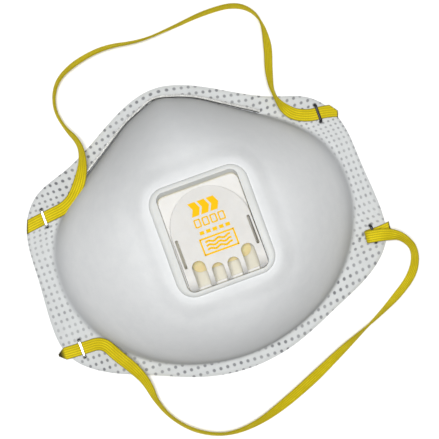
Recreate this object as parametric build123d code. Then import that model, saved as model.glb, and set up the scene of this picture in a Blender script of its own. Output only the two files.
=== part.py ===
from build123d import *
import math
import os

# Cup dust mask with an exhalation valve, lying rim down: +Z up through the valve, +Y to the nose, mm.

# Outlines, right half only, from the nose round by +X to the chin
RIM_HALF = [
    (0, 59), (13, 56), (30, 47), (45, 39.8), (58, 34.6), (65.6, 25), (68.6, 4),
    (69.8, -14), (67.4, -30), (60, -38), (40, -48), (20, -56), (0, -59),
]
CUP_HALF = [
    (0, 54.6), (7.2, 52.7), (14.6, 49.6), (22, 45), (42, 32), (57, 17), (61.6, -1), (56, -23), (40, -41), (20, -50.4), (0, -53.4),
]

# Cup
PLATEAU_Z = 49.5  # height of the flat that the valve sits on
PLATEAU_HALF_X = 22.5
PLATEAU_HALF_Y = 24.5
CROWN_ROUND = 1.55  # how square the wall's profile is towards the plateau
WALL_LEAN = 1.1  # 1 leans in from the foot; more stands up
WALL_LEAN_ENDS = 0.65  # added at the nose and the chin
SECTION_HEIGHTS = (0, 0.12, 0.27, 0.43, 0.6, 0.75, 0.87, 0.955, 1)  # of the cup's height
SECTION_POINTS = 48

# Layers from outside in: name, depth of the outer face, thickness in the cup, flange bottom and top
LAYERS = (
    ("outer_cover_web", 0.0, 0.6, 1.4, 1.8),
    ("filter_media", 0.65, 0.8, 1.0, 1.4),
    ("shaping_shell", 1.5, 1.1, 0.5, 1.0),
    ("inner_lining", 2.65, 0.4, 0.0, 0.5),
)
FLANGE_TOP = LAYERS[0][4]
LINING_TOP = LAYERS[3][4]
LINING_DEPTH = LAYERS[3][1] + LAYERS[3][2]

# Nose clip and nose foam, bands that follow the cup's wall
CLIP_REACH, CLIP_HEIGHT, CLIP_THICKNESS = 41.5, 4.0, 0.8
FOAM_REACH, FOAM_HEIGHT, FOAM_THICKNESS = 43.0, 10.0, 4.5
BAND_POINTS = 21
BAND_GAP = 0.1

# Straps and staples
STRAP_WIDTH, STRAP_THICKNESS = 5.0, 0.9
STAPLE_CROWN, STAPLE_WIDE, STAPLE_THICK = 7.0, 1.1, 0.5
STAPLE_LEG_TURN = 2.9  # length of each leg that is turned in below
SNUG = 0.05  # clearance of pieces that lie close together
CROWN_GAP = 0.9  # between strap and crown
STAPLES = {
    "staple_upper_left": (-58.2, 25.1),
    "staple_upper_right": (59.0, 27.5),
    "staple_lower_left": (-61.8, -28.6),
    "staple_lower_right": (63.4, -25.6),
}
HEAD_STRAP_ROUTE = [
    (-66.6, 24.0, 2.3), (-57.4, 25.3, 2.3), (-50.2, 26.6, 4.6), (-43.8, 34.8, 8.8), (-37.0, 41.2, 8.6),
    (-35.0, 48.0, 6.0), (-38.6, 56.4, 3.0), (-39.9, 65.6, 2.5), (-35.6, 74.6, 2.5), (-26.4, 79.2, 2.5),
    (-12.8, 81.4, 2.5), (1.2, 78.6, 2.5), (15.0, 79.4, 2.5), (29.6, 81.0, 2.5), (43.4, 80.0, 2.5),
    (50.4, 72.4, 2.5), (49.6, 60.4, 2.6), (45.6, 49.4, 3.8), (44.0, 40.2, 5.2), (47.6, 31.2, 4.6),
    (55.4, 27.6, 2.8), (61.6, 27.4, 2.7), (66.8, 25.8, 2.8),
]
NECK_STRAP_ROUTE = [
    (-71.2, -28.0, 2.7), (-61.5, -28.7, 2.65), (-53.2, -28.8, 3.4), (-49.4, -35.8, 7.6), (-45.2, -42.4, 7.4),
    (-42.0, -50.0, 5.0), (-41.3, -58.4, 3.0), (-37.6, -67.4, 2.5), (-30.2, -75.6, 2.5), (-19.4, -81.0, 2.5),
    (-6.6, -80.9, 2.5), (6.4, -77.2, 2.5), (21.4, -71.4, 2.5), (36.4, -64.6, 2.5), (50.6, -58.8, 2.5),
    (63.8, -52.4, 2.5), (73.4, -46.0, 2.5), (77.4, -37.4, 2.8), (74.2, -30.8, 4.2), (69.4, -28.0, 5.9),
    (64.8, -26.7, 6.9), (61.2, -26.1, 6.9), (59.7, -25.8, 4.6), (61.2, -25.7, 2.75), (65.4, -25.4, 2.7),
    (71.4, -24.2, 2.7),
]
NECK_STRAP_LEAN = -8.2  # degrees at its start, so that it lies as flat as it can at both ends
ARC_SHARE = 0.45  # of the shorter run, taken by each arc of a strap's path

# Valve, about its own centre
VALVE_Y = -2.0
SEAT_X, SEAT_Y, SEAT_CORNER = 38.5, 42.5, 7.0
POCKET_X, POCKET_Y, POCKET_CORNER = 31.6, 38.6, 3.0
BASE_THICK = 1.0
SURROUND_HIGH = 3.2
BASE_TOP = PLATEAU_Z + BASE_THICK
SURROUND_EDGE = 1.6  # radius of its top edges
SKIRT_X, SKIRT_Y, SKIRT_DEEP, SKIRT_WALL, SKIRT_CORNER = 24.6, 25.6, 3.4, 1.2, 2.5
PORT_X, PORT_Y, PORT_CORNER, PORT_Y0 = 19.0, 18.0, 2.5, -1.5
RIDGE_WALL, RIDGE_HIGH = 1.2, 1.2
BAR_WIDE, BAR_HIGH = 1.2, 0.7
HOLE_GAP = 0.2  # round the skirt, through the layers

HINGE_Y = 12.4
FLAP_THICK, FLAP_HALF_X, FLAP_TIP_Y, FLAP_TAB, FLAP_TAB_HALF_X = 0.4, 11.4, -13.0, 1.5, 7.5
FLAP_Z = BASE_TOP + RIDGE_HIGH + 0.05
FLAP_CORNER, FLAP_TOP_Y, TAB_LOW_Y, TAB_CORNER = 3.0, 9.0, 3.0, 1.5
PIN_X, PIN_R, PIN_HIGH, PIN_HOLE_R = 5.5, 0.8, 1.6, 1.2
CLAMP_WIDE, CLAMP_BELOW = 1.0, 0.25  # the clamp rib and how far it stays under the flap

COVER_X, COVER_Y, COVER_CORNER = 31.0, 36.4, 2.8
COVER_Y0 = -0.8  # its middle, which leaves a sloping wall of the pocket bare at the top end
COVER_BOTTOM = COVER_Y0 - COVER_Y / 2
COVER_PLATE_HIGH = 1.1
COVER_WALL = 0.8
ARCH_HALF_X, ARCH_Y0, ARCH_RISE = 15.1, 1.0, 15.6
ROOF_SLOPE = 0.22
ROOF_TOP_Y, ROOF_LOW = 19.0, BASE_TOP + 1.75  # where the roof's slope starts, and its height there
ROOF_TURN_Y = -12.5  # where the roof turns down to the bottom end
END_HIGH, END_BEND, END_BULGE = 3.4, 5.0, 1.0  # height of the roof at its bottom end; reach and rise of its curve
SILL_HIGH = 0.8
WINDOWS = ((-9.5, 5.0, -8.5), (-3.0, 4.6, -11.4), (3.0, 4.6, -11.4), (9.5, 5.0, -8.5))  # x, width, top y
WINDOW_ROUND = 0.1  # how much less than half its width a window's corner radius is
SLIT_X, SLIT_WIDE, SLIT_TOP, SLIT_BOTTOM, SLIT_CORNER = 13.9, 1.1, 1.0, -10.0, 0.4
ABOVE = 15.0  # past the top of everything in the valve


def whole(half):
    """Closed outline from its right half."""
    return half + [(-x, y) for x, y in reversed(half[1:-1])]


CUP_LINE = Spline(*whole(CUP_HALF), periodic=True)
RIM_LINE = Spline(*whole(RIM_HALF), periodic=True)


def wall_point(turn, z, depth):
    """Point of the cup's wall: turn goes 0 to 1 round the foot from the nose, depth is below the outside."""
    foot = CUP_LINE @ (turn % 1)
    along = CUP_LINE % (turn % 1)
    inward = Vector(along.Y, -along.X, 0)
    foot = foot + inward * depth
    angle = math.atan2(foot.Y, foot.X)
    across, up = abs(math.cos(angle)) / PLATEAU_HALF_X, abs(math.sin(angle)) / PLATEAU_HALF_Y
    reach = (across**4 + up**4) ** -0.25
    plateau = Vector(reach * math.cos(angle), reach * math.sin(angle) + VALVE_Y, 0)
    lean = WALL_LEAN + WALL_LEAN_ENDS * math.sin(angle) ** 4
    rise = min(z / (PLATEAU_Z - depth), 1)
    spread = (1 - rise**lean) ** (1 / CROWN_ROUND)
    point = plateau + (foot - plateau) * spread
    return Vector(point.X, point.Y, z)


def dome(depth):
    """Solid cup whose outside lies depth below the cup's outer face."""
    wires = []
    for share in SECTION_HEIGHTS:
        z = share * (PLATEAU_Z - depth)
        ring = [wall_point(i / SECTION_POINTS, z, depth) for i in range(SECTION_POINTS)]
        wires.append(Wire([Edge.make_spline(ring, periodic=True)]))
    return Solid.make_loft(wires)


def slab(shape, low, high):
    """A flat shape raised from low to high."""
    return extrude(Pos(0, 0, low) * shape, high - low, dir=(0, 0, 1))


def block(centre_x, centre_y, size_x, size_y, low, high):
    return Pos(centre_x, centre_y, (low + high) / 2) * Box(size_x, size_y, high - low)


def staple_cut(x, y, low, high):
    """Room for a staple's two legs through a layer; the innermost layer also has its turned-in ends."""
    half = (STAPLE_CROWN - STAPLE_THICK) / 2
    size_x, size_y = STAPLE_WIDE + 2 * SNUG, STAPLE_THICK + 2 * SNUG
    if low == 0:
        return block(x, y, size_x, STAPLE_CROWN + 2 * SNUG, low - 1, high)
    legs = [block(x, y + side * half, size_x, size_y, low - 1, high + 1) for side in (-1, 1)]
    return legs[0] + legs[1]


def layer(depth, thick, low, high):
    """One layer of the mask: its cup, its flange, and its holes for the valve and the staples."""
    rim = Face(Wire([RIM_LINE.edge()]))
    outer = dome(depth) + slab(rim, low, high)
    body = outer - dome(depth + thick) - block(0, 0, 200, 200, -5, low)
    hole = RectangleRounded(SKIRT_X + 2 * HOLE_GAP, SKIRT_Y + 2 * HOLE_GAP, SKIRT_CORNER)
    body = body - slab(Pos(0, VALVE_Y) * hole, PLATEAU_Z - 10, PLATEAU_Z + 1)
    for x, y in STAPLES.values():
        body = body - staple_cut(x, y, low, high)
    return body


def band(reach, low, high, near, far, upright=False):
    """A strip round the nose, reach to each side of the middle, between two depths of the wall or of its foot."""
    share = reach / CUP_LINE.length
    wires = []
    for z in (low, high):
        turns = [share * (2 * i / (BAND_POINTS - 1) - 1) for i in range(BAND_POINTS)]
        inner = [wall_point(turn, 0 if upright else z, near) for turn in turns]
        outer = [wall_point(turn, 0 if upright else z, far) for turn in reversed(turns)]
        inner, outer = ([Vector(point.X, point.Y, z) for point in side] for side in (inner, outer))
        wires.append(Wire([
            Edge.make_spline(inner), Edge.make_line(inner[-1], outer[0]),
            Edge.make_spline(outer), Edge.make_line(outer[-1], inner[0]),
        ]))
    return Solid.make_loft(wires, ruled=True)


def nose_clip():
    low = FLANGE_TOP + BAND_GAP / 2
    return band(CLIP_REACH, low, low + CLIP_HEIGHT, -BAND_GAP, -BAND_GAP - CLIP_THICKNESS, upright=True)


def nose_foam():
    low = LINING_TOP + 1.0
    near = LINING_DEPTH + BAND_GAP
    return band(FOAM_REACH, low, low + FOAM_HEIGHT, near, near + FOAM_THICKNESS)


def staple(x, y):
    """Flat-wire staple across a strap: crown on top, legs down both sides, ends turned in below."""
    top = FLANGE_TOP + STRAP_THICKNESS + CROWN_GAP + STAPLE_THICK
    half = (STAPLE_CROWN - STAPLE_THICK) / 2
    body = block(x, y, STAPLE_WIDE, STAPLE_CROWN, top - STAPLE_THICK, top)
    foot_high = LINING_TOP - SNUG
    for side in (-1, 1):
        body = body + block(x, y + side * half, STAPLE_WIDE, STAPLE_THICK, SNUG, top)
        turned = y + side * (STAPLE_CROWN - STAPLE_LEG_TURN) / 2
        body = body + block(x, turned, STAPLE_WIDE, STAPLE_LEG_TURN, SNUG, foot_high)
    return body


def strap(name, route, lean=0.0):
    """Flat elastic strap along straight runs joined by tangent arcs, tilted by lean where it starts."""
    points = [Vector(*p) for p in route]
    radii = []
    for before, here, after in zip(points, points[1:], points[2:]):
        turn = math.radians((here - before).get_angle(after - here))
        run = min((here - before).length, (after - here).length)
        radii.append(ARC_SHARE * run / math.tan(turn / 2))
    path = FilletPolyline(*points, radius=radii)
    start, heading = path @ 0, path % 0
    across = Vector(0, 0, 1).cross(heading).rotate(Axis((0, 0, 0), heading), lean)
    section = Plane(origin=start, x_dir=across, z_dir=heading) * Rectangle(STRAP_WIDTH, STRAP_THICKNESS)
    body = sweep(section, path)
    expected = STRAP_WIDTH * STRAP_THICKNESS * path.length
    print(name, "length", round(path.length, 1), "volume over section x length", round(body.volume / expected, 3))
    print(name, "radii", [round(r, 1) for r in radii])
    return body


def valve_seat():
    """Seat moulding: base and raised surround, skirt through the cup, port with bars, ridge and pins."""
    outer = RectangleRounded(SEAT_X, SEAT_Y, SEAT_CORNER)
    pocket = RectangleRounded(POCKET_X, POCKET_Y, POCKET_CORNER)
    port = Pos(0, PORT_Y0) * RectangleRounded(PORT_X, PORT_Y, PORT_CORNER)
    surround = slab(outer, PLATEAU_Z, BASE_TOP + SURROUND_HIGH)
    surround = fillet(surround.faces().sort_by(Axis.Z)[-1].edges(), SURROUND_EDGE)
    rest = Pos(0, COVER_Y0) * RectangleRounded(POCKET_X, COVER_Y + POCKET_X - COVER_X, POCKET_CORNER)
    high = BASE_TOP + SURROUND_HIGH
    taper = loft([Pos(0, 0, BASE_TOP) * rest.face(), Pos(0, 0, high) * pocket.face()], ruled=True)
    body = surround - taper
    skirt = RectangleRounded(SKIRT_X, SKIRT_Y, SKIRT_CORNER)
    inside = RectangleRounded(SKIRT_X - 2 * SKIRT_WALL, SKIRT_Y - 2 * SKIRT_WALL, SKIRT_CORNER - SKIRT_WALL)
    body = body + slab(skirt - inside, PLATEAU_Z - SKIRT_DEEP, PLATEAU_Z)
    ridge_x, ridge_y = PORT_X + 2 * RIDGE_WALL, PORT_Y + 2 * RIDGE_WALL
    ridge = Pos(0, PORT_Y0) * RectangleRounded(ridge_x, ridge_y, PORT_CORNER + RIDGE_WALL)
    body = body + slab(ridge, BASE_TOP, BASE_TOP + RIDGE_HIGH)
    body = body - slab(port, PLATEAU_Z - 1, BASE_TOP + RIDGE_HIGH + 1)
    bar_low, bar_high = PLATEAU_Z, BASE_TOP + BAR_HIGH
    body = body + block(0, PORT_Y0, PORT_X + RIDGE_WALL, BAR_WIDE, bar_low, bar_high)
    body = body + block(0, PORT_Y0, BAR_WIDE, PORT_Y + RIDGE_WALL, bar_low, bar_high)
    rib_top = FLAP_Z - CLAMP_BELOW
    body = body + block(0, HINGE_Y, 2 * FLAP_TAB_HALF_X, CLAMP_WIDE, BASE_TOP, rib_top)
    for side in (-1, 1):
        pin = Pos(side * PIN_X, HINGE_Y, BASE_TOP + PIN_HIGH / 2) * Cylinder(PIN_R, PIN_HIGH)
        body = body + pin
    return Pos(0, VALVE_Y) * body


def valve_flap():
    """Flexible flap over the port, with a tab past its hinge line and a hole for each pin."""
    wide = RectangleRounded(2 * FLAP_HALF_X, FLAP_TOP_Y - FLAP_TIP_Y, FLAP_CORNER)
    wide = Pos(0, (FLAP_TIP_Y + FLAP_TOP_Y) / 2) * wide
    tab_high = HINGE_Y + FLAP_TAB
    tab = RectangleRounded(2 * FLAP_TAB_HALF_X, tab_high - TAB_LOW_Y, TAB_CORNER)
    tab = Pos(0, (TAB_LOW_Y + tab_high) / 2) * tab
    shape = wide + tab
    for side in (-1, 1):
        shape = shape - Pos(side * PIN_X, HINGE_Y) * Circle(PIN_HOLE_R)
    return Pos(0, VALVE_Y) * slab(shape, FLAP_Z, FLAP_Z + FLAP_THICK)


def arch(inset):
    """Tombstone outline of the cover's chamber: straight sides and bottom, elliptical top."""
    half, rise, bottom = ARCH_HALF_X - inset, ARCH_RISE - inset, COVER_BOTTOM + inset
    top = Pos(0, ARCH_Y0) * Ellipse(half, rise)
    sides = Pos(0, (ARCH_Y0 + bottom) / 2) * Rectangle(2 * half, ARCH_Y0 - bottom)
    above = Pos(0, ARCH_Y0 + rise) * Rectangle(4 * half, 2 * rise)
    return (top & above) + sides


def roof_block(inset):
    """Everything under the chamber's sloping roof and its rounded bottom end."""
    top_y, bottom_y = ROOF_TOP_Y, COVER_BOTTOM + inset
    high = ROOF_LOW + (top_y - ROOF_TURN_Y) * ROOF_SLOPE - inset
    low = BASE_TOP - 1 if inset else BASE_TOP + SNUG
    shoulder = (ROOF_TURN_Y + inset / 2, high)
    edge = (bottom_y, BASE_TOP + END_HIGH)
    profile = (
        Line((top_y, low), (top_y, ROOF_LOW - inset)),
        Line((top_y, ROOF_LOW - inset), shoulder),
        Bezier(shoulder, (shoulder[0] - END_BEND, high + END_BULGE), edge),
        Line(edge, (bottom_y, low)),
        Line((bottom_y, low), (top_y, low)),
    )
    side = Plane.YZ * Face(Wire([line.edge() for line in profile]))
    return extrude(side, ARCH_HALF_X + 2 * SNUG, both=True)


def valve_cover():
    """Snap-on cover: low plate in the surround, arched chamber over the flap, windows at its bottom end."""
    low = BASE_TOP + SNUG
    rounded = Pos(0, COVER_Y0) * RectangleRounded(COVER_X, COVER_Y, COVER_CORNER)
    chamber = slab(arch(0) & rounded, low, BASE_TOP + ABOVE) & roof_block(0)
    hollow = slab(arch(COVER_WALL), low - 1, BASE_TOP + ABOVE) & roof_block(COVER_WALL)
    body = slab(rounded, low, BASE_TOP + COVER_PLATE_HIGH) + chamber - hollow
    for x, wide, top_y in WINDOWS:
        bottom_y = COVER_BOTTOM - 2
        arched = Pos(x, (top_y + bottom_y) / 2) * RectangleRounded(wide, top_y - bottom_y, wide / 2 - WINDOW_ROUND)
        body = body - slab(arched, BASE_TOP + SILL_HIGH, BASE_TOP + ABOVE)
    for side in (-1, 1):
        slit_y = (SLIT_TOP + SLIT_BOTTOM) / 2
        slit = Pos(side * SLIT_X, slit_y) * RectangleRounded(SLIT_WIDE, SLIT_TOP - SLIT_BOTTOM, SLIT_CORNER)
        body = body - slab(slit, BASE_TOP + COVER_PLATE_HIGH, BASE_TOP + ABOVE)
    return Pos(0, VALVE_Y) * body


def main():
    parts = {name: layer(*sizes) for name, *sizes in LAYERS}
    parts["nose_clip"] = nose_clip()
    parts["nose_foam"] = nose_foam()
    parts["head_strap"] = strap("head_strap", HEAD_STRAP_ROUTE)
    parts["neck_strap"] = strap("neck_strap", NECK_STRAP_ROUTE, NECK_STRAP_LEAN)
    for name, place in STAPLES.items():
        parts[name] = staple(*place)
    parts["valve_seat"] = valve_seat()
    parts["valve_flap"] = valve_flap()
    parts["valve_cover"] = valve_cover()
    os.makedirs("parts", exist_ok=True)
    for name, part in parts.items():
        export_step(part, f"parts/{name}.step")


main()
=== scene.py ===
import math

import bpy
import numpy as np
from mathutils import Matrix, Vector, noise


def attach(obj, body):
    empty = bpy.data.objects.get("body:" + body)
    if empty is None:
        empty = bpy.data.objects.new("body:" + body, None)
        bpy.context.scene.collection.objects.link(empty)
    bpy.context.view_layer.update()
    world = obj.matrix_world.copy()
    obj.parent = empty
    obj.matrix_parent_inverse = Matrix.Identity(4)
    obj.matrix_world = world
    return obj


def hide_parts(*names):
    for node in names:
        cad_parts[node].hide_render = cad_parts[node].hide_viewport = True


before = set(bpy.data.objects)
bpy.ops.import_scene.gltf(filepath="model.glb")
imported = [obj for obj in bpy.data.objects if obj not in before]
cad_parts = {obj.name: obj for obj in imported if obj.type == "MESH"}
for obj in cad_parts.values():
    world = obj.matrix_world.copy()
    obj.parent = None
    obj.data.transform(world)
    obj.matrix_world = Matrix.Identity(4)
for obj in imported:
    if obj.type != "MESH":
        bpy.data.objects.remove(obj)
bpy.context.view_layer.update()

MM = 0.001

# ---------------------------------------------------------------- the mask's own sizes, in mm

# Right halves of the flange's rim and of the cup's foot, mirrored to the left
RIM_HALF = [
    (0, 59), (13, 56), (30, 47), (45, 39.8), (58, 34.6), (65.6, 25), (68.6, 4),
    (69.8, -14), (67.4, -30), (60, -38), (40, -48), (20, -56), (0, -59),
]
CUP_HALF = [
    (0, 54.6), (7.2, 52.7), (14.6, 49.6), (22, 45), (42, 32), (57, 17), (61.6, -1),
    (56, -23), (40, -41), (20, -50.4), (0, -53.4),
]
PLATEAU_Z, PLATEAU_HALF_X, PLATEAU_HALF_Y = 49.5, 22.5, 24.5
CROWN_ROUND, WALL_LEAN, WALL_LEAN_ENDS = 1.55, 1.1, 0.65
CREASE_ROUND = 1.7  # reach of the soft turn from flange to wall
VALVE_Y = -2.0
HOLE_HALF_X, HOLE_HALF_Y = 12.5, 13.0
SEAT_HALF_X, SEAT_HALF_Y, SEAT_CORNER = 19.25, 21.25, 7.0
RIDGE_HIGH, RIDGE_WIDE = 3.2, 8.5  # the web's swell round the valve seat
ROUND = 840  # points round the mask
BETWEEN_KNOTS = 64  # points from one knot of an outline to the next

# name, depth of the outer face, thickness in the cup, flange bottom and top
LAYERS = (
    ("outer_cover_web", 0.0, 0.6, 1.4, 1.8),
    ("filter_media", 0.65, 0.8, 1.0, 1.4),
    ("shaping_shell", 1.5, 1.1, 0.5, 1.0),
    ("inner_lining", 2.65, 0.4, 0.0, 0.5),
)
RIM_Z, RIM_SOFT = 0.75, 1.3  # height that the layers' edges close towards, and over what width
DOT_PITCH, DOT_RADIUS, DOT_DEEP = 2.8, 0.62, 0.2
STRAP_WIDTH, STRAP_THICKNESS, STRAP_RIBS = 5.0, 0.9, 5
SLANT_LONG, NOTCH_LONG, TIP_LONG = 5.0, 2.5, 7.0  # how far back from its end each cut reaches
CUT_DARK = 0.35  # length of the dark edge at each cut end
SOFTEN = 15  # points of the path over which a strap's twist is smoothed

# Points that guide each strap's middle line, and the strap's turn in degrees from flat at each of them. The
# turn is None where the line runs down through a fold.
HEAD_STRAP_ROUTE = [
    (-65.8, 24.1, 2.3), (-57.4, 25.3, 2.3), (-47.2, 26.2, 5.2), (-40.4, 32.6, 9.6), (-36.0, 40.6, 9.0),
    (-34.8, 48.4, 6.0), (-38.6, 56.4, 3.0), (-39.9, 65.6, 2.5), (-35.6, 74.6, 2.5), (-26.4, 79.2, 2.5),
    (-12.8, 81.4, 2.5), (1.2, 78.6, 2.5), (15.0, 79.4, 2.5), (29.6, 81.0, 2.5), (43.4, 80.0, 2.5),
    (50.4, 72.4, 2.5), (49.6, 60.4, 2.6), (45.6, 49.4, 3.8), (44.0, 40.2, 5.2), (47.6, 31.2, 4.6),
    (55.4, 27.6, 2.8), (61.6, 27.4, 2.7), (66.8, 25.8, 2.8),
]
HEAD_STRAP_BANK = [
    0, 0, -6, -14, -50, -70, -84, -82, -72, -62,
    -66, -78, -90, -102, -103, -86, -44, -48, -76, -14,
    0, 0, 0,
]
NECK_STRAP_ROUTE = [
    (-71.2, -28.0, 2.7), (-61.5, -28.7, 2.65), (-53.2, -28.8, 3.4), (-49.4, -35.8, 7.6), (-45.2, -42.4, 7.4),
    (-42.0, -50.0, 5.0), (-41.3, -58.4, 3.0), (-37.6, -67.4, 2.5), (-30.2, -75.6, 2.5), (-19.4, -81.0, 2.5),
    (-6.6, -80.9, 2.5), (6.4, -77.2, 2.5), (21.4, -71.4, 2.5), (36.4, -64.6, 2.5), (50.6, -58.8, 2.5),
    (63.8, -52.4, 2.5), (73.4, -46.0, 2.5), (77.4, -37.4, 2.8), (74.2, -30.8, 4.2), (69.4, -28.0, 5.9),
    (64.8, -26.7, 6.9), (61.2, -26.1, 6.9), (59.7, -25.8, 4.6), (61.2, -25.7, 2.75), (65.2, -26.0, 2.7),
    (70.4, -25.6, 2.7),
]
NECK_STRAP_BANK = [
    0, 0, 0, 12, 22, 46, 70, 78, 74, 75,
    58, 34, 26, 46, 86, 118, 124, 114, 124, 156,
    178, 180, None, 0, 0, 0,
]

# Staples: x, y and whether the metal is painted near black as shade
STAPLES = {
    "staple_upper_left": (-58.2, 25.1, False),
    "staple_upper_right": (59.0, 27.5, True),
    "staple_lower_left": (-61.8, -28.6, False),
    "staple_lower_right": (63.4, -25.6, True),
}
STAPLE_CROWN, STAPLE_WIDE, STAPLE_THICK, STAPLE_TOP, STAPLE_LOW = 7.0, 1.1, 0.5, 3.8, 0.28
STAPLE_TURNED, STAPLE_BEND = 2.6, 0.62
STRAY_DARK_SPOTS = [(57.7, -25.6), (59.4, -24.6)]  # painted dark spots beside the folded strap
CLIP_REACH = 41.5  # along the foot line, either side of the nose
FOAM_REACH, FOAM_LOW, FOAM_HIGH, FOAM_NEAR, FOAM_FAR = 42.6, 1.7, 11.3, 3.2, 7.6

# The valve cover's roof, about the valve's middle
ROOF_TOP_Y, ROOF_TOP_Z, ROOF_SLOPE = 19.0, 52.25, 0.22

# ---------------------------------------------------------------- camera

PICTURE_WIDE = 175.6 * MM  # across the picture, at the flange
CAMERA_AWAY = 0.62
CAMERA_LEAN = math.radians(3.7)
CAMERA_AIM = Vector((7.2, 0.9, 1.8)) * MM
PICTURE_TURN = math.radians(20)


def make_camera():
    data = bpy.data.cameras.new("camera")
    camera = bpy.data.objects.new("camera", data)
    bpy.context.collection.objects.link(camera)
    back = Vector((-math.sin(CAMERA_LEAN), 0, math.cos(CAMERA_LEAN)))
    up = Vector((math.sin(PICTURE_TURN), math.cos(PICTURE_TURN), 0))
    right = up.cross(back).normalized()
    up = back.cross(right)
    turn = Matrix((right, up, back)).transposed().to_4x4()
    camera.matrix_world = Matrix.Translation(CAMERA_AIM + back * CAMERA_AWAY) @ turn
    data.sensor_width = 36
    data.lens = data.sensor_width * CAMERA_AWAY / PICTURE_WIDE
    data.clip_start, data.clip_end = 0.01, 20
    bpy.context.scene.camera = camera


make_camera()


# ---------------------------------------------------------------- mesh helpers

def mesh_object(name, verts, faces, material=None, smooth=True):
    """A new mesh object from points in mm."""
    mesh = bpy.data.meshes.new(name)
    mesh.from_pydata([tuple(float(c) * MM for c in v) for v in verts], [], faces)
    mesh.validate()
    for poly in mesh.polygons:
        poly.use_smooth = smooth
    piece = bpy.data.objects.new(name, mesh)
    bpy.context.collection.objects.link(piece)
    if material:
        mesh.materials.append(material)
    return piece


def tube_faces(rings, around, closed=False):
    """Quads between rings of points. Closed joins the last ring to the first, else both ends are capped."""
    faces = []
    for r in range(rings if closed else rings - 1):
        nxt = (r + 1) % rings
        for k in range(around):
            k2 = (k + 1) % around
            faces.append((r * around + k, r * around + k2, nxt * around + k2, nxt * around + k))
    if not closed:
        faces.append(tuple(reversed(range(around))))
        faces.append(tuple((rings - 1) * around + k for k in range(around)))
    return faces


def add_values(piece, name, values):
    """A value for each point, which the materials read by name."""
    layer = piece.data.attributes.new(name, "FLOAT", "POINT")
    layer.data.foreach_set("value", np.asarray(values, dtype=np.float32))


def smoothstep(x, low, high):
    t = np.clip((x - low) / (high - low), 0, 1)
    return t * t * (3 - 2 * t)


def closed_line(half, count):
    """Evenly spaced points round a mirrored half outline, and its length. A cubic spline joins the knots."""
    knots = np.array(half + [(-x, y) for x, y in reversed(half[1:-1])], float)
    count_knots = len(knots)
    step = np.linalg.norm(np.roll(knots, -1, 0) - knots, axis=1)
    system, right = np.zeros((count_knots, count_knots)), np.zeros((count_knots, 2))
    for i in range(count_knots):
        before, here, after = step[i - 1], step[i], (i + 1) % count_knots
        system[i, i - 1] = before
        system[i, i] = 2 * (before + here)
        system[i, after] = here
        right[i] = 6 * ((knots[after] - knots[i]) / here - (knots[i] - knots[i - 1]) / before)
    bend = np.linalg.solve(system, right)
    fine = []
    for i in range(count_knots):
        after = (i + 1) % count_knots
        for share in np.linspace(0, 1, BETWEEN_KNOTS, endpoint=False):
            rest = 1 - share
            curve = (rest**3 - rest) * bend[i] + (share**3 - share) * bend[after]
            fine.append(knots[i] * rest + knots[after] * share + step[i] * step[i] / 6 * curve)
    fine = np.array(fine + [fine[0]])
    run = np.concatenate([[0], np.cumsum(np.linalg.norm(np.diff(fine, axis=0), axis=1))])
    want = np.arange(count) / count * run[-1]
    return np.stack([np.interp(want, run, fine[:, k]) for k in (0, 1)], 1), run[-1]


def inward_of(line):
    """Unit vectors pointing into a closed line that runs clockwise."""
    along = np.roll(line, -1, 0) - np.roll(line, 1, 0)
    along /= np.linalg.norm(along, axis=1)[:, None]
    return np.stack([along[:, 1], -along[:, 0]], 1)


CUP_LINE, CUP_LENGTH = closed_line(CUP_HALF, ROUND)
RIM_LINE, _ = closed_line(RIM_HALF, ROUND)
CUP_INWARD = inward_of(CUP_LINE)


def squircle(angle, half_x, half_y, power):
    """Points of a rounded rectangle about the valve's middle, in the given directions."""
    across, up = np.abs(np.cos(angle)) / half_x, np.abs(np.sin(angle)) / half_y
    reach = (across**power + up**power) ** (-1 / power)
    return np.stack([reach * np.cos(angle), reach * np.sin(angle) + VALVE_Y], 1)


def wall_ring(z, depth, line=None, inward=None):
    """The cup's wall at height z, depth below its outer face."""
    line = CUP_LINE if line is None else line
    inward = CUP_INWARD if inward is None else inward
    foot = line + inward * depth
    angle = np.arctan2(foot[:, 1], foot[:, 0])
    plateau = squircle(angle, PLATEAU_HALF_X, PLATEAU_HALF_Y, 4)
    lean = WALL_LEAN + WALL_LEAN_ENDS * np.sin(angle) ** 4
    rise = np.minimum(z / (PLATEAU_Z - depth), 1)
    spread = (1 - rise**lean) ** (1 / CROWN_ROUND)
    return plateau + (foot - plateau) * spread[:, None]


# ---------------------------------------------------------------- shader helpers

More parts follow.
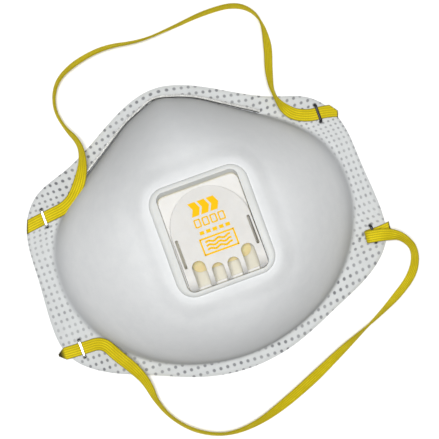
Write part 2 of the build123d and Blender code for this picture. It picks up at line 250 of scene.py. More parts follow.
class Shader:
    """Short way to build a node material. Lengths in textures are in mm."""

    def __init__(self, name, roughness=0.8):
        self.material = bpy.data.materials.new(name)
        self.material.use_nodes = True
        self.tree = self.material.node_tree
        self.principled = self.tree.nodes["Principled BSDF"]
        self.set("Roughness", roughness)
        place = self.node("ShaderNodeTexCoord").outputs["Object"]
        scaled = self.node("ShaderNodeMapping")
        scaled.inputs["Scale"].default_value = (1000, 1000, 1000)
        self.link(place, scaled.inputs["Vector"])
        self.place = scaled.outputs["Vector"]

    def node(self, kind, **settings):
        made = self.tree.nodes.new(kind)
        for key, value in settings.items():
            setattr(made, key, value)
        return made

    def link(self, a, b):
        self.tree.links.new(a, b)

    def put(self, value, socket):
        if isinstance(value, bpy.types.NodeSocket):
            self.link(value, socket)
        else:
            socket.default_value = value

    def set(self, name, value):
        self.put(value, self.principled.inputs[name])

    def math(self, operation, a, b=0.0):
        made = self.node("ShaderNodeMath", operation=operation)
        for value, socket in zip((a, b), made.inputs):
            self.put(value, socket)
        return made.outputs[0]

    def times(self, a, b):
        return self.math("MULTIPLY", a, b)

    def stretch(self, scale, turn=(0, 0, 0)):
        made = self.node("ShaderNodeMapping")
        made.inputs["Scale"].default_value = scale
        made.inputs["Rotation"].default_value = turn
        self.link(self.place, made.inputs["Vector"])
        return made.outputs["Vector"]

    def noise(self, scale, detail=3.0, rough=0.55, vector=None, distortion=0.0):
        made = self.node("ShaderNodeTexNoise")
        self.link(vector or self.place, made.inputs["Vector"])
        made.inputs["Scale"].default_value = scale
        made.inputs["Detail"].default_value = detail
        made.inputs["Roughness"].default_value = rough
        made.inputs["Distortion"].default_value = distortion
        return made.outputs["Fac"]

    def cells(self, scale):
        made = self.node("ShaderNodeTexVoronoi")
        self.link(self.place, made.inputs["Vector"])
        made.inputs["Scale"].default_value = scale
        return made.outputs["Distance"]

    def ramp(self, value, low, high, out_low=0.0, out_high=1.0):
        made = self.node("ShaderNodeMapRange")
        made.interpolation_type = "SMOOTHSTEP"
        limits = {"From Min": low, "From Max": high, "To Min": out_low, "To Max": out_high}
        for name, number in limits.items():
            made.inputs[name].default_value = number
        self.link(value, made.inputs["Value"])
        return made.outputs["Result"]

    def mix(self, factor, a, b):
        made = self.node("ShaderNodeMix", data_type="RGBA")  # its colours are inputs 6 and 7, output 2
        self.put(factor, made.inputs[0])
        for value, socket in ((a, made.inputs[6]), (b, made.inputs[7])):
            if isinstance(value, tuple) and len(value) == 3:
                value = (*value, 1.0)
            self.put(value, socket)
        return made.outputs[2]

    def value_of(self, name):
        return self.node("ShaderNodeAttribute", attribute_name=name).outputs["Fac"]

    def bump(self, height, strength, distance):
        """Bump with its distance in mm; calls stack."""
        made = self.node("ShaderNodeBump")
        made.inputs["Strength"].default_value = strength
        made.inputs["Distance"].default_value = distance * MM
        self.link(height, made.inputs["Height"])
        normal = self.principled.inputs["Normal"]
        if normal.is_linked:
            self.link(normal.links[0].from_socket, made.inputs["Normal"])
        self.link(made.outputs["Normal"], normal)


def dot_mask(shader):
    """1 at the middle of each bonded dot of the lattice, 0 between."""
    squared = []
    for name in ("dot_u", "dot_v"):
        from_middle = shader.math("SUBTRACT", shader.math("FRACT", shader.value_of(name)), 0.5)
        squared.append(shader.times(from_middle, from_middle))
    away = shader.math("SQRT", shader.math("ADD", *squared))
    return shader.ramp(away, 0.14, 0.31, 1.0, 0.0)


def shaded(colour, *shares):
    """A colour scaled by one share, or by one for each channel."""
    shares = shares * 3 if len(shares) == 1 else shares
    return tuple(c * share for c, share in zip(colour, shares))


def nonwoven(name, light, dark, flange_colour, dot_colour, sheen=0.1, fibre=1.0):
    """Thermobonded nonwoven: clouds of fibre, fine crossing fibres and, on the flange, pressed dots."""
    shader = Shader(name, 0.85)
    clouds = shader.noise(0.22, 5, 0.6)
    fine = shader.noise(2.6, 6, 0.7)
    strands = [
        shader.noise(1.0, 4, 0.65, shader.stretch((9, 0.9, 2), (0, 0, turn)), 1.2)
        for turn in (0.5, 1.65, 2.7)
    ]
    strand = shader.math("MAXIMUM", shader.math("MAXIMUM", strands[0], strands[1]), strands[2])
    cloudy = shader.math("ADD", shader.times(clouds, 0.6), shader.times(fine, 0.4))
    colour = shader.mix(shader.ramp(cloudy, 0.30, 0.70), dark, light)
    colour = shader.mix(shader.ramp(strand, 0.56, 0.74, 0.0, 0.35), colour, shaded(light, 1.04))
    # painted shade: greys the web by its foot value, at the crease and up the steep nose and chin
    foot = shader.times(shader.value_of("foot"), 0.8)
    colour = shader.mix(foot, colour, shaded(dark, 0.575, 0.585, 0.60))
    flange = shader.value_of("flange")
    flange_tint = shader.mix(shader.ramp(cloudy, 0.34, 0.64), shaded(flange_colour, 0.93), flange_colour)
    colour = shader.mix(flange, colour, flange_tint)
    patchy = shader.ramp(shader.noise(0.09, 2), 0.3, 0.7, 0.6, 1.0)
    pressed = shader.times(patchy, shader.value_of("ink"))
    dots = shader.times(shader.times(dot_mask(shader), flange), pressed)
    colour = shader.mix(dots, colour, dot_colour)
    # painted shade: near black where the staple legs pierce the flange and at two spots beside the folded
    # strap
    colour = shader.mix(shader.value_of("hole"), colour, (0.012, 0.012, 0.015))
    shader.set("Base Color", colour)
    shader.set("Roughness", shader.ramp(fine, 0.3, 0.7, 0.78, 0.95))
    shader.set("Sheen Weight", sheen)
    shader.set("Sheen Roughness", 0.5)
    shader.set("Specular IOR Level", 0.3)
    shader.bump(shader.math("ADD", shader.times(strand, 1.2), fine), 0.45 * fibre, 0.09)
    shader.bump(clouds, 0.08 * fibre, 0.3)
    return shader.material


def plain_plastic(name, light, dark, roughness, translucent, painted_flap_bounce=None):
    """Moulded plastic with a faint spark-eroded grain and slight flow clouds.

    A painted tint of light bounced off the tan flap colours the 2 mm just above the cup's web,
    where the pocket under the valve cover lies.
    """
    shader = Shader(name, roughness)
    clouds = shader.noise(0.12, 3)
    grain = shader.noise(9.0, 4, 0.6)
    colour = shader.mix(shader.ramp(clouds, 0.35, 0.65), dark, light)
    if painted_flap_bounce:
        parted = shader.node("ShaderNodeSeparateXYZ")
        shader.link(shader.place, parted.inputs[0])
        height = parted.outputs["Z"]
        above_web = shader.ramp(height, PLATEAU_Z + 0.1, PLATEAU_Z + 0.3)
        near_floor = shader.ramp(height, PLATEAU_Z + 1.2, PLATEAU_Z + 2.3, 1.0, 0.0)
        # painted bounce light from the flap on the pocket floor
        colour = shader.mix(shader.times(above_web, near_floor), colour, painted_flap_bounce)
    shader.set("Base Color", colour)
    shader.set("Roughness", shader.ramp(grain, 0.3, 0.7, roughness - 0.06, roughness + 0.1))
    shader.set("Subsurface Weight", translucent)
    shader.set("Subsurface Radius", (1.0, 0.9, 0.75))
    shader.set("Subsurface Scale", 1.2 * MM)
    shader.set("Specular IOR Level", 0.22)
    shader.bump(grain, 0.12, 0.03)
    return shader.material


def metal(name, colour, roughness, brushed=False, metallic=1.0):
    """Metal with handling marks and a streaky polish. Brushed raises the streaks into fine lines."""
    shader = Shader(name, roughness)
    lines = shader.noise(3.0, 5, 0.6, shader.stretch((1, 1, 14)))
    marks = shader.noise(0.8, 4, 0.6)
    shader.set("Metallic", metallic)
    shader.set("Base Color", shader.mix(shader.ramp(marks, 0.3, 0.75), shaded(colour, 0.82), colour))
    shader.set("Roughness", shader.ramp(lines, 0.3, 0.7, roughness * 0.8, roughness * 1.5))
    if brushed:
        shader.bump(lines, 0.2, 0.02)
    return shader.material


def elastic_cloth(name):
    """Ribbed braided elastic: bright yellow rib crowns, valleys painted olive as shade, chevron yarns along
    each rib with painted shade between them, and painted shade along both edges.
    """
    shader = Shader(name, 0.62)
    across = shader.value_of("across")  # ribs counted over the width
    along = shader.value_of("along")  # mm along the strap
    rib = shader.math("FRACT", across)
    crown = shader.math("SINE", shader.times(rib, math.pi))
    side = shader.math("ABSOLUTE", shader.math("SUBTRACT", rib, 0.5))
    slant = shader.math("ADD", shader.times(along, 1.45), shader.times(side, 1.5))
    yarn = shader.math("ABSOLUTE", shader.math("SINE", shader.times(slant, math.pi)))
    fuzz = shader.noise(4.0, 5, 0.65)
    wear = shader.noise(0.16, 3)
    bright = shader.mix(shader.ramp(wear, 0.35, 0.65), (0.64, 0.505, 0.006), (0.74, 0.60, 0.010))
    # painted shade: olive in the valleys between the rib crowns
    colour = shader.mix(shader.ramp(crown, 0.15, 0.85), (0.44, 0.345, 0.005), bright)
    lit = shader.times(yarn, shader.ramp(fuzz, 0.3, 0.7, 0.7, 1.0))
    # painted shade between the chevron yarns
    colour = shader.mix(shader.ramp(lit, 0.0, 0.75, 0.25, 0.0), colour, (0.28, 0.22, 0.006))
    # painted shade along the strap's edges
    colour = shader.mix(shader.times(shader.value_of("edge"), 0.4), colour, (0.26, 0.215, 0.008))
    # darkens the pointed start with painted shade, and both ends over their last CUT_DARK mm
    colour = shader.mix(shader.value_of("cut"), colour, (0.05, 0.042, 0.012))
    shader.set("Base Color", colour)
    shader.set("Roughness", shader.ramp(fuzz, 0.3, 0.7, 0.55, 0.8))
    shader.set("Specular IOR Level", 0.12)
    shader.bump(yarn, 0.55, 0.14)
    shader.bump(fuzz, 0.25, 0.05)
    return shader.material


def foam_material():
    """Open-cell foam with painted shade in its pores."""
    shader = Shader("foam", 0.95)
    pores = shader.cells(2.4)
    small = shader.cells(5.5)
    clouds = shader.noise(0.3, 3)
    base = shader.mix(shader.ramp(clouds, 0.3, 0.7), (0.60, 0.60, 0.59), (0.72, 0.72, 0.70))
    # painted shade in the open cells
    open_cell = shader.ramp(pores, 0.05, 0.35, 0.55, 0.0)
    shader.set("Base Color", shader.mix(open_cell, base, (0.30, 0.30, 0.30)))
    shader.bump(shader.math("ADD", pores, shader.times(small, 0.5)), 0.8, 0.25)
    return shader.material


def rubber_flap():
    """Tan moulded rubber, slightly cloudy and translucent."""
    shader = Shader("flap_rubber", 0.48)
    clouds = shader.noise(0.35, 4)
    grain = shader.noise(8.0, 4)
    tint = shader.mix(shader.ramp(clouds, 0.3, 0.7), (0.51, 0.41, 0.15), (0.58, 0.475, 0.19))
    shader.set("Base Color", tint)
    shader.set("Subsurface Weight", 0.2)
    shader.set("Subsurface Scale", 0.5 * MM)
    shader.bump(grain, 0.15, 0.03)
    return shader.material


def print_ink():
    """Pad-printed ink with a faint speckle."""
    shader = Shader("print_ink", 0.5)
    speckle = shader.noise(5.0, 4)
    tint = shader.mix(shader.ramp(speckle, 0.3, 0.75), (0.80, 0.45, 0.0), (0.86, 0.52, 0.0))
    shader.set("Base Color", tint)
    shader.set("Specular IOR Level", 0.1)
    shader.bump(speckle, 0.2, 0.02)
    return shader.material


COVER_WEB = nonwoven(
    "cover_web", light=(0.72, 0.73, 0.732), dark=(0.675, 0.688, 0.695),
    flange_colour=(0.585, 0.60, 0.60), dot_colour=(0.15, 0.155, 0.165),
)
FILTER_WEB = nonwoven(
    "filter_web", light=(0.78, 0.78, 0.77), dark=(0.72, 0.72, 0.71),
    flange_colour=(0.76, 0.76, 0.75), dot_colour=(0.6, 0.6, 0.6),
)
SHELL_WEB = nonwoven(
    "shell_web", light=(0.70, 0.70, 0.69), dark=(0.62, 0.62, 0.61),
    flange_colour=(0.68, 0.68, 0.67), dot_colour=(0.5, 0.5, 0.5),
)
LINING_WEB = nonwoven(
    "lining_web", light=(0.74, 0.745, 0.75), dark=(0.66, 0.665, 0.67),
    flange_colour=(0.66, 0.67, 0.67), dot_colour=(0.3, 0.3, 0.32), sheen=0.2, fibre=1.3,
)
ELASTIC = elastic_cloth("elastic")
STAPLE_METAL = metal("staple_metal", colour=(0.74, 0.74, 0.74), roughness=0.3)
# painted shade: a near-black copy of the staple metal, for the two staples on the right
STAPLE_PAINTED_DARK = metal("staple_painted_dark", colour=(0.045, 0.045, 0.05), roughness=0.45)
CLIP_METAL = metal("clip_metal", colour=(0.36, 0.36, 0.345), roughness=0.5, brushed=True, metallic=0.55)
SEAT_PLASTIC = plain_plastic(
    "seat_plastic", light=(0.625, 0.635, 0.62), dark=(0.60, 0.61, 0.595),
    # painted bounce light from the flap, on the pocket floor
    roughness=0.6, translucent=0.35, painted_flap_bounce=(0.62, 0.595, 0.50),
)
COVER_PLASTIC = plain_plastic(
    "cover_plastic", light=(0.665, 0.655, 0.63), dark=(0.635, 0.625, 0.60),
    roughness=0.52, translucent=0.25,
)
FLAP_RUBBER = rubber_flap()
FOAM = foam_material()
INK = print_ink()


# ---------------------------------------------------------------- straps

def route_line(route):
    """Points along a strap's smooth line, and where each lies in the route, from 0 to its last index."""
    data = bpy.data.curves.new("route", "CURVE")
    data.dimensions = "3D"
    data.resolution_u = 20
    spline = data.splines.new("NURBS")
    spline.points.add(len(route) - 1)
    for point, place in zip(spline.points, route):
        point.co = (*[c * MM for c in place], 1)
    spline.order_u = 3
    spline.use_endpoint_u = True
    holder = bpy.data.objects.new("route", data)
    bpy.context.collection.objects.link(holder)
    bpy.context.view_layer.update()
    mesh = bpy.data.meshes.new_from_object(holder)
    line = np.array([v.co[:] for v in mesh.vertices]) / MM
    bpy.data.objects.remove(holder)
    bpy.data.meshes.remove(mesh)
    spans = len(route) - 2  # each inner point pulls most half way along a span
    own = np.array([0] + [k + 0.5 for k in range(spans)] + [spans])
    return line, np.interp(np.linspace(0, spans, len(line)), own, np.arange(len(route)))


def strap_sides(line, where, bank):
    """The direction across the strap at each point, from the bank angles at the route's points."""
    along = np.gradient(line, axis=0)
    along /= np.linalg.norm(along, axis=1)[:, None]
    chosen = []
    for k, angle in enumerate(bank):
        heading = along[int(np.argmin(np.abs(where - k)))]
        if angle is None:
            chosen.append(np.array([0.1, 1.0, 0.0]))
            continue
        level = np.cross([0, 0, 1], heading)
        level /= np.linalg.norm(level)
        over = np.cross(heading, level)
        chosen.append(level * math.cos(math.radians(angle)) + over * math.sin(math.radians(angle)))
    chosen = np.array(chosen)
    across = np.stack([np.interp(where, np.arange(len(bank)), chosen[:, k]) for k in range(3)], 1)
    soft = np.hanning(SOFTEN + 2)[1:-1] / np.hanning(SOFTEN + 2).sum()
    padded = np.pad(across, ((SOFTEN // 2, SOFTEN // 2), (0, 0)), "edge")
    across = np.stack([np.convolve(padded[:, k], soft, "valid") for k in range(3)], 1)
    across -= along * np.sum(across * along, 1)[:, None]
    return across / np.linalg.norm(across, axis=1)[:, None], along


def strap_section():
    """Outline of the flat ribbed section: (across, up, rib count, edge) for each point."""
    half, thick = STRAP_WIDTH / 2, STRAP_THICKNESS / 2
    points = []
    steps = STRAP_RIBS * 6
    for face in (1, -1):
        for k in range(steps + 1):
            share = k / steps
            x = (share * 2 - 1) * (half - 0.16) * face
            rib = abs(math.sin(math.pi * share * STRAP_RIBS))
            shoulder = 1 - 0.35 * abs(share * 2 - 1) ** 6
            up = face * thick * (0.72 + 0.28 * rib) * shoulder
            points.append((x, up, share * STRAP_RIBS, abs(share * 2 - 1) ** 5))
        points.append((face * half, 0, STRAP_RIBS if face > 0 else 0, 1))
    return points


def make_strap(name, route, bank, pointed=0.0, slant=0.0, notch=0.0, tip=0.0):
    """A ribbed strap along its route.

    Its start may taper over the pointed length to a narrow end with painted shade, standing in for
    the shade on its underside where it wraps the rim, or be cut on a slant. Its end may be notched in the
    middle, or have one corner moved along by tip.
    """
    line, where = route_line(route)
    step = np.concatenate([[0], np.cumsum(np.linalg.norm(np.diff(line, axis=0), axis=1))])
    across, along = strap_sides(line, where, bank)
    up = np.cross(along, across)
    section = strap_section()
    verts, ribs, edges, runs, cuts = [], [], [], [], []
    for i, centre in enumerate(line):
        run, to_end = step[i], step[-1] - step[i]
        narrow = 1.0 if pointed <= 0 else 0.18 + 0.82 * min(run / pointed, 1)
        # painted shade: the pointed start darkens as the shaded underside where the strap wraps the rim
        dark = 0.0 if pointed <= 0 else 1 - smoothstep(run, pointed * 0.5, pointed)
        dark = max(dark, 1 - smoothstep(run, 0.0, CUT_DARK), smoothstep(run, step[-1] - CUT_DARK, step[-1]))
        for x, y, rib, edge in section:
            slide = slant * x * max(1 - run / SLANT_LONG, 0)
            slide += notch * abs(x) * max(1 - to_end / NOTCH_LONG, 0)
            slide += tip * max(x, 0) * max(1 - to_end / TIP_LONG, 0)
            verts.append(centre + across[i] * x * narrow + up[i] * y + along[i] * slide)
            ribs.append(rib)
            edges.append(edge)
            runs.append(run)
            cuts.append(dark)
    piece = mesh_object(name, verts, tube_faces(len(line), len(section)), ELASTIC)
    add_values(piece, "across", ribs)
    add_values(piece, "edge", edges)
    add_values(piece, "along", runs)
    add_values(piece, "cut", cuts)
    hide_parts(name)
    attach(piece, "mask")


make_strap("head_strap", HEAD_STRAP_ROUTE, HEAD_STRAP_BANK, slant=0.55, tip=-1.3)
make_strap("neck_strap", NECK_STRAP_ROUTE, NECK_STRAP_BANK, pointed=2.6, notch=0.3)


# ---------------------------------------------------------------- the cup's layers

def lattice(points):
    """The bonded dots' lattice, one unit a dot, as moulding stretches and turns it round the flange."""
    x, y = points[:, 0], points[:, 1]
    nose = smoothstep(y, 12, 34)
    side = np.tanh(x / 8)
    u = x - 0.18 * np.maximum(-50 - x, 0) - 0.2 * nose * side * (y - 50)
    v = y + 0.13 * np.maximum(-8 - y, 0) * (0.4 + 0.6 * smoothstep(x, -40, 40))
    v = v + 0.22 * nose * (np.sqrt(np.minimum(np.abs(x), 34) ** 2 + 9) - 3)
    v = v - 0.1 * np.maximum(x - 15, 0) * (1 - smoothstep(y, -35, -15))
    u = u + 0.34 * np.maximum(x - 50, 0) * smoothstep(y, -28, -10) * (1 - smoothstep(y, 22, 34))
    return u / DOT_PITCH, v / DOT_PITCH


def dot_press(points):
    """How deep the bonding dots press the flange."""
    u, v = lattice(points)
    away = np.hypot(u % 1 - 0.5, v % 1 - 0.5) * DOT_PITCH
    return DOT_DEEP * (1 - smoothstep(away, DOT_RADIUS * 0.45, DOT_RADIUS * 1.25))


def flange_wave(line):
    """Slight rise of the flange's edge between its four lugs."""
    angle = np.arctan2(line[:, 1], line[:, 0])
    return np.maximum(0.35 * (0.5 + 0.5 * np.cos(4 * angle)) + 0.12 * np.sin(7 * angle + 1.0), 0)


def painted_hole_shade(points):
    """Painted shade: 1 where a staple's leg has punched through, 0 elsewhere."""
    dark = np.zeros(len(points))
    for x, y, _ in STAPLES.values():
        for side in (-1, 1):
            leg = y + side * (STAPLE_CROWN / 2 + 0.1)
            away = np.hypot((points[:, 0] - x) / 1.15, points[:, 1] - leg)
            dark = np.maximum(dark, 1 - smoothstep(away, 0.45, 0.95))
    for x, y in STRAY_DARK_SPOTS:
        away = np.hypot(points[:, 0] - x, points[:, 1] - y)
        dark = np.maximum(dark, 0.8 * (1 - smoothstep(away, 0.3, 0.8)))
    return dark


FOOT_RUN = np.arange(ROUND) / ROUND * CUP_LENGTH
FROM_NOSE = np.minimum(FOOT_RUN, CUP_LENGTH - FOOT_RUN)
BESIDE_CLIP = 1 - smoothstep(FROM_NOSE, CLIP_REACH - 0.5, CLIP_REACH + 5)


def face_rings(depth, flange_z, shares, press):
    """Rings of one face of a layer, from the rim's edge to the valve hole, with flange values for each."""
    rings, flange = [], []
    foot = wall_ring(flange_z, depth)
    width = np.linalg.norm(foot - RIM_LINE, axis=1)
    reach = np.minimum(CREASE_ROUND * (1 - 0.85 * BESIDE_CLIP), 0.45 * width)
    start = foot + (RIM_LINE - foot) * (reach / width)[:, None]
    high = flange_z + 1.5 * reach
    climb = wall_ring(high, depth)
    wave = flange_wave(RIM_LINE)
    for share in shares["flange"]:
        flat = RIM_LINE + (start - RIM_LINE) * share
        from_rim = share * (width - reach)
        from_start = (1 - share) * (width - reach)
        on_flange = smoothstep(from_start, 0.0, 0.8)
        z = RIM_Z + (flange_z - RIM_Z) * (0.55 + 0.45 * smoothstep(from_rim, 0.0, RIM_SOFT))
        z = z - press * dot_press(flat) * on_flange * smoothstep(from_rim, 0.2, 0.9)
        rings.append(np.column_stack([flat, z + wave * (1 - share) ** 2]))
        flange.append(np.ones(ROUND))
    for share in shares["crease"]:
        low, mid, top = (1 - share) ** 2, 2 * share * (1 - share), share**2
        flat = start * low + foot * mid + climb * top
        rings.append(np.column_stack([flat, flange_z * (low + mid) + high * top]))
        flange.append(1 - smoothstep(np.full(ROUND, share), 0.15, 0.75))
    top = PLATEAU_Z - depth
    for share in shares["wall"]:
        z = high + (top - high) * share
        rings.append(np.column_stack([wall_ring(z, depth), z]))
        flange.append(np.zeros(ROUND))
    edge_ring = wall_ring(top, depth)
    angle = np.arctan2(edge_ring[:, 1] - VALVE_Y, edge_ring[:, 0])
    hole = squircle(angle, HOLE_HALF_X, HOLE_HALF_Y, 8)
    for share in shares["plateau"]:
        flat = edge_ring + (hole - edge_ring) * share
        rings.append(np.column_stack([flat, np.full(ROUND, top)]))
        flange.append(np.zeros(ROUND))
    return rings, flange


def seat_ridge(points):
    """Raises the cup's face into a soft ridge that hugs the valve's surround."""
    dx = np.abs(points[:, 0]) - (SEAT_HALF_X - SEAT_CORNER)
    dy = np.abs(points[:, 1] - VALVE_Y) - (SEAT_HALF_Y - SEAT_CORNER)
    away = np.hypot(np.maximum(dx, 0), np.maximum(dy, 0)) + np.minimum(np.maximum(dx, dy), 0) - SEAT_CORNER
    high = RIDGE_HIGH * (1 - smoothstep(away, -1.0, RIDGE_WIDE))
    under_seat = smoothstep(-away, 0.45, 0.9)
    return high * (1 - under_seat)


def mottle(points, size, amount):
    """Soft random heights, size mm across."""
    return np.array([amount * noise.noise(Vector(p) / size) for p in points.tolist()])


def wall_shares(count):
    """Shares of the wall's height, closest together at the foot and at the plateau's edge."""
    turn = np.linspace(0, math.pi, count)[1:]
    return 0.5 * (1 - np.cos(turn))


# Where a face's rings lie, from start to end of each stretch: close on the two faces that are seen, wide on
# those between layers
RICH = {
    "flange": np.linspace(0, 1, 32), "crease": np.linspace(0, 1, 9)[1:], "wall": wall_shares(46),
    "plateau": np.linspace(0.06, 1, 16),
}
POOR = {
    "flange": np.linspace(0, 1, 5), "crease": np.linspace(0, 1, 5)[1:], "wall": wall_shares(24),
    "plateau": np.linspace(0.25, 1, 4),
}


def painted_wall_shade(points, rings):
    """Painted shade on the moulded web: most at the crease, and further up the steep nose and chin."""
    inside = np.linalg.norm(points.reshape(rings, ROUND, 3)[:, :, :2] - CUP_LINE, axis=2).ravel()
    angle = np.arctan2(points[:, 1], points[:, 0])
    steep = np.sin(angle) ** 2
    low = 0.66 * (1 - smoothstep(points[:, 2], 1.0, 22.0)) ** 1.5
    nose = points[:, 1] > 0
    ends = 0.9 * np.exp(-inside / np.where(nose, 9.5, 8.0))
    bridge = 0.22 * nose * (1 - smoothstep(inside, 15, 36))
    return np.clip(low + steep * (ends + bridge), 0, 1.25)


def dot_ink(points):
    """How dark the pressed dots are: paler beside the ears."""
    ear = smoothstep(np.abs(points[:, 0]), 46, 62) * (1 - smoothstep(np.abs(points[:, 1] + 5), 24, 36))
    return 1 - 0.34 * ear


def make_layer(name, depth, thick, low, high, material, slot_name):
    """One layer of the cup with its flange; its dots are pressed only into a face that is seen."""
    top_face = name == "outer_cover_web"
    low_face = name == "inner_lining"
    upper, upper_flange = face_rings(depth, high, RICH if top_face else POOR, float(top_face))
    lower, lower_flange = face_rings(depth + thick, low, RICH if low_face else POOR, -float(low_face))
    if top_face:
        for ring in upper[len(RICH["flange"]):]:
            ridge = seat_ridge(ring)
            ring[:, 2] += ridge
            ring[:, 2] += (mottle(ring, 11.0, 0.08) + mottle(ring, 3.0, 0.02)) * (ridge < 0.3)
    points = np.concatenate(upper + lower[::-1])
    piece = mesh_object(name, points, tube_faces(len(upper) + len(lower), ROUND, closed=True), material)
    add_values(piece, "flange", np.concatenate(upper_flange + lower_flange[::-1]))
    dot_u, dot_v = lattice(points)
    add_values(piece, "dot_u", dot_u)
    add_values(piece, "dot_v", dot_v)
    # painted shade of the staple holes and of two dark spots beside the folded strap
    add_values(piece, "hole", painted_hole_shade(points) * (points[:, 2] < 4))
    # painted shade of the steep walls, stored as the foot value
    add_values(piece, "foot", painted_wall_shade(points, len(upper) + len(lower)))
    add_values(piece, "ink", dot_ink(points))
    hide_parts(name)
    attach(piece, "mask")


WEBS = {
    "outer_cover_web": (COVER_WEB, "cover_web"),
    "filter_media": (FILTER_WEB, "filter_web"),
    "shaping_shell": (SHELL_WEB, "shell_web"),
    "inner_lining": (LINING_WEB, "lining_web"),
}
for name, *sizes in LAYERS:
    make_layer(name, *sizes, *WEBS[name])


# ---------------------------------------------------------------- hardware kept from CAD, with its finish

def finish_node(node, material, bevel=0.0):
    """Gives a CAD piece its material and, if asked, softened edges."""
    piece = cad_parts[node]
    piece.data.materials.clear()
    piece.data.materials.append(material)
    if bevel:
        round_off = piece.modifiers.new("edges", "BEVEL")
        round_off.width = bevel * MM
        round_off.segments = 2
        round_off.limit_method = "ANGLE"
        round_off.angle_limit = math.radians(40)


finish_node("nose_clip", CLIP_METAL, bevel=0.15)
finish_node("valve_seat", SEAT_PLASTIC)
finish_node("valve_cover", COVER_PLASTIC)
finish_node("valve_flap", FLAP_RUBBER)


def bent_wire(corners, radius, steps=6):
    """Centre line of a wire bent at its inner corners, in its own plane."""
    line = [np.array(corners[0], float)]
    for before, here, after in zip(corners, corners[1:], corners[2:]):
        before, here, after = (np.array(p, float) for p in (before, here, after))
        back = (before - here) / np.linalg.norm(before - here) * radius
        on = (after - here) / np.linalg.norm(after - here) * radius
        for k in range(steps + 1):
            t = k / steps
            line.append(here + back * (1 - t) ** 2 + on * t**2)
    line.append(np.array(corners[-1], float))
    return np.array(line)


def make_staple(name, x, y, painted_dark):
    """Flat-wire staple: crown over the strap, legs down through the flange, ends turned in below."""
    half, high = (STAPLE_CROWN - STAPLE_THICK) / 2, STAPLE_TOP - STAPLE_THICK / 2
    turned = half - STAPLE_TURNED
    corners = [
        (-turned, STAPLE_LOW), (-half, STAPLE_LOW), (-half, high),
        (half, high), (half, STAPLE_LOW), (turned, STAPLE_LOW),
    ]
    line = bent_wire(corners, STAPLE_BEND)
    along = np.gradient(line, axis=0)
    along /= np.linalg.norm(along, axis=1)[:, None]
    section = []
    for k in range(16):
        turn = math.tau * k / 16
        across, out = math.cos(turn), math.sin(turn)
        squared = (abs(across) ** 4 + abs(out) ** 4) ** -0.25
        section.append((across * squared * STAPLE_WIDE / 2, out * squared * STAPLE_THICK / 2))
    verts = []
    for (run, z), (run_y, run_z) in zip(line, along):
        verts += [(x + a, y + run - run_z * b, z + run_y * b) for a, b in section]
    # painted shade: the staples on the right take the near-black copy of the metal
    material = STAPLE_PAINTED_DARK if painted_dark else STAPLE_METAL
    piece = mesh_object(name, verts, tube_faces(len(line), len(section)), material)
    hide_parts(name)
    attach(piece, "mask")


for name, (x, y, painted_dark) in STAPLES.items():
    make_staple(name, x, y, painted_dark)


def make_foam():
    """Soft crowned strip inside the nose, rounded at its ends."""
    signed = np.where(FOOT_RUN > CUP_LENGTH / 2, FOOT_RUN - CUP_LENGTH, FOOT_RUN)
    order = np.argsort(signed)
    picked = order[np.abs(signed[order]) <= FOAM_REACH]
    place = signed[picked]
    end = np.clip((FOAM_REACH - np.abs(place)) / 4.0, 0, 1)
    swell = np.sqrt(np.clip(1 - (1 - end) ** 2, 0.02, 1))
    mid_z, half_z = (FOAM_LOW + FOAM_HIGH) / 2, (FOAM_HIGH - FOAM_LOW) / 2
    around = 28
    line, inward = CUP_LINE[picked], CUP_INWARD[picked]
    rings = []
    for k in range(around):
        turn = math.tau * k / around
        up, out = math.sin(turn), math.cos(turn)
        squared = (abs(up) ** 3 + abs(out) ** 3) ** (-1 / 3)
        z = mid_z + half_z * up * squared * (0.6 + 0.4 * swell)
        share = 0.5 + 0.5 * out * squared
        crown = 1 - 0.12 * (up * squared) ** 2 * (share > 0.5)
        depth = FOAM_NEAR + (FOAM_FAR - FOAM_NEAR) * share * swell * crown
        rough = np.array([noise.noise(Vector((p * 0.4, k * 0.5, 3))) for p in place])
        depth = depth + 0.08 * rough * (share > 0.3)
        foot = line + inward * depth[:, None]
        flat = wall_ring(z, depth.mean(), foot - inward * depth.mean(), inward)
        rings.append(np.column_stack([flat, np.broadcast_to(z, len(picked))]))
    stations = np.stack(rings, 1).reshape(-1, 3)
    piece = mesh_object("nose_foam", stations, tube_faces(len(picked), around), FOAM)
    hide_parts("nose_foam")
    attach(piece, "mask")


make_foam()


# ---------------------------------------------------------------- the mark printed on the valve cover

def on_roof(x, y, lift):
    """A point on the cover's sloping roof, y about the valve's middle."""
    return (x, y + VALVE_Y, ROOF_TOP_Z + (ROOF_TOP_Y - y) * ROOF_SLOPE + lift)


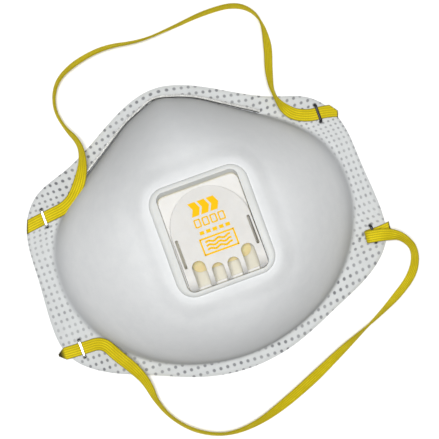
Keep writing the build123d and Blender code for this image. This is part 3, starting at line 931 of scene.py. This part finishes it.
def make_mark():
    """A generic pad-printed mark: three chevrons, four boxes, five dashes and a frame with waves."""
    verts, faces = [], []

    def patch(outline):
        first, count = len(verts), len(outline)
        for lift in (-0.02, 0.05):
            verts.extend(on_roof(x, y, lift) for x, y in outline)
        faces.append(tuple(first + count + k for k in range(count)))
        faces.append(tuple(first + k for k in reversed(range(count))))
        for k in range(count):
            k2 = (k + 1) % count
            faces.append((first + k, first + k2, first + count + k2, first + count + k))

    def bar(x0, y0, x1, y1, wide):
        run = math.hypot(x1 - x0, y1 - y0)
        side_x, side_y = -(y1 - y0) / run * wide / 2, (x1 - x0) / run * wide / 2
        patch([
            (x0 - side_x, y0 - side_y), (x1 - side_x, y1 - side_y),
            (x1 + side_x, y1 + side_y), (x0 + side_x, y0 + side_y),
        ])

    def wave(x, row):
        return row + 0.4 * math.sin(x * 1.57)

    low, mid, high = 6.9, 9.5, 12.1
    for x in (-3.6, 0.0, 3.6):
        patch([
            (x - 1.9, low), (x + 0.9, low), (x + 2.1, mid),
            (x + 0.9, high), (x - 1.9, high), (x - 0.7, mid),
        ])
    box, box_y, box_half_y = ((-1, -1), (1, -1), (1, 1), (-1, 1)), 4.2, 1.4
    for x in (-4.3, -1.2, 1.9, 5.0):
        for (x0, y0), (x1, y1) in zip(box, box[1:] + box[:1]):
            bar(x + x0, box_y + y0 * box_half_y, x + x1, box_y + y1 * box_half_y, 0.55)
    dash_y, dash_pitch = 0.4, 2.5
    for k in range(5):
        bar(-4.9 + k * dash_pitch, dash_y, -3.2 + k * dash_pitch, dash_y, 1.3)
    left, right, low, high, line = -5.7, 7.2, -7.6, -1.8, 0.65
    for y in (low, high):
        bar(left, y, right, y, line)
    for x in (left, right):
        bar(x, low - 0.32, x, high + 0.32, line)
    for row in (-3.3, -4.7, -6.1):
        for k in range(12):
            x0, x1 = (left + 1.65 + step * 0.8 for step in (k, k + 1))
            bar(x0 - 0.05, wave(x0, row), x1 + 0.05, wave(x1, row), 0.75)
    piece = mesh_object("valve_mark", verts, faces, INK, smooth=False)
    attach(piece, "mask")


make_mark()


# ---------------------------------------------------------------- floor and light

def make_floor():
    half = 3000
    corners = [(-half, -half, 0), (half, -half, 0), (half, half, 0), (-half, half, 0)]
    floor = mesh_object("floor", corners, [(0, 1, 2, 3)])
    shader = Shader("floor", 0.9)
    shader.set("Base Color", (0.93, 0.93, 0.93, 1))
    floor.data.materials.append(shader.material)


def make_light(name, place, size, power):
    """A round soft light aimed at the mask's middle, with place and size in metres."""
    data = bpy.data.lights.new(name, "AREA")
    data.shape = "DISK"
    data.size = size
    data.energy = power
    lamp = bpy.data.objects.new(name, data)
    bpy.context.collection.objects.link(lamp)
    lamp.location = place
    facing = Vector((0, 0, 20)) * MM - Vector(place)
    lamp.rotation_euler = facing.to_track_quat("-Z", "Y").to_euler()


def make_world():
    world = bpy.data.worlds.new("world")
    bpy.context.scene.world = world
    world.use_nodes = True
    sky = world.node_tree.nodes["Background"]
    sky.inputs["Color"].default_value = (1, 1, 1, 1)
    sky.inputs["Strength"].default_value = 0.06


make_floor()
make_world()
make_light("key", place=(-0.11, 0.0, 1.3), size=0.5, power=18.4)
make_light("fill", place=(0.6, 0.2, 0.9), size=0.8, power=1.0)
bpy.context.scene.view_settings.view_transform = "Standard"
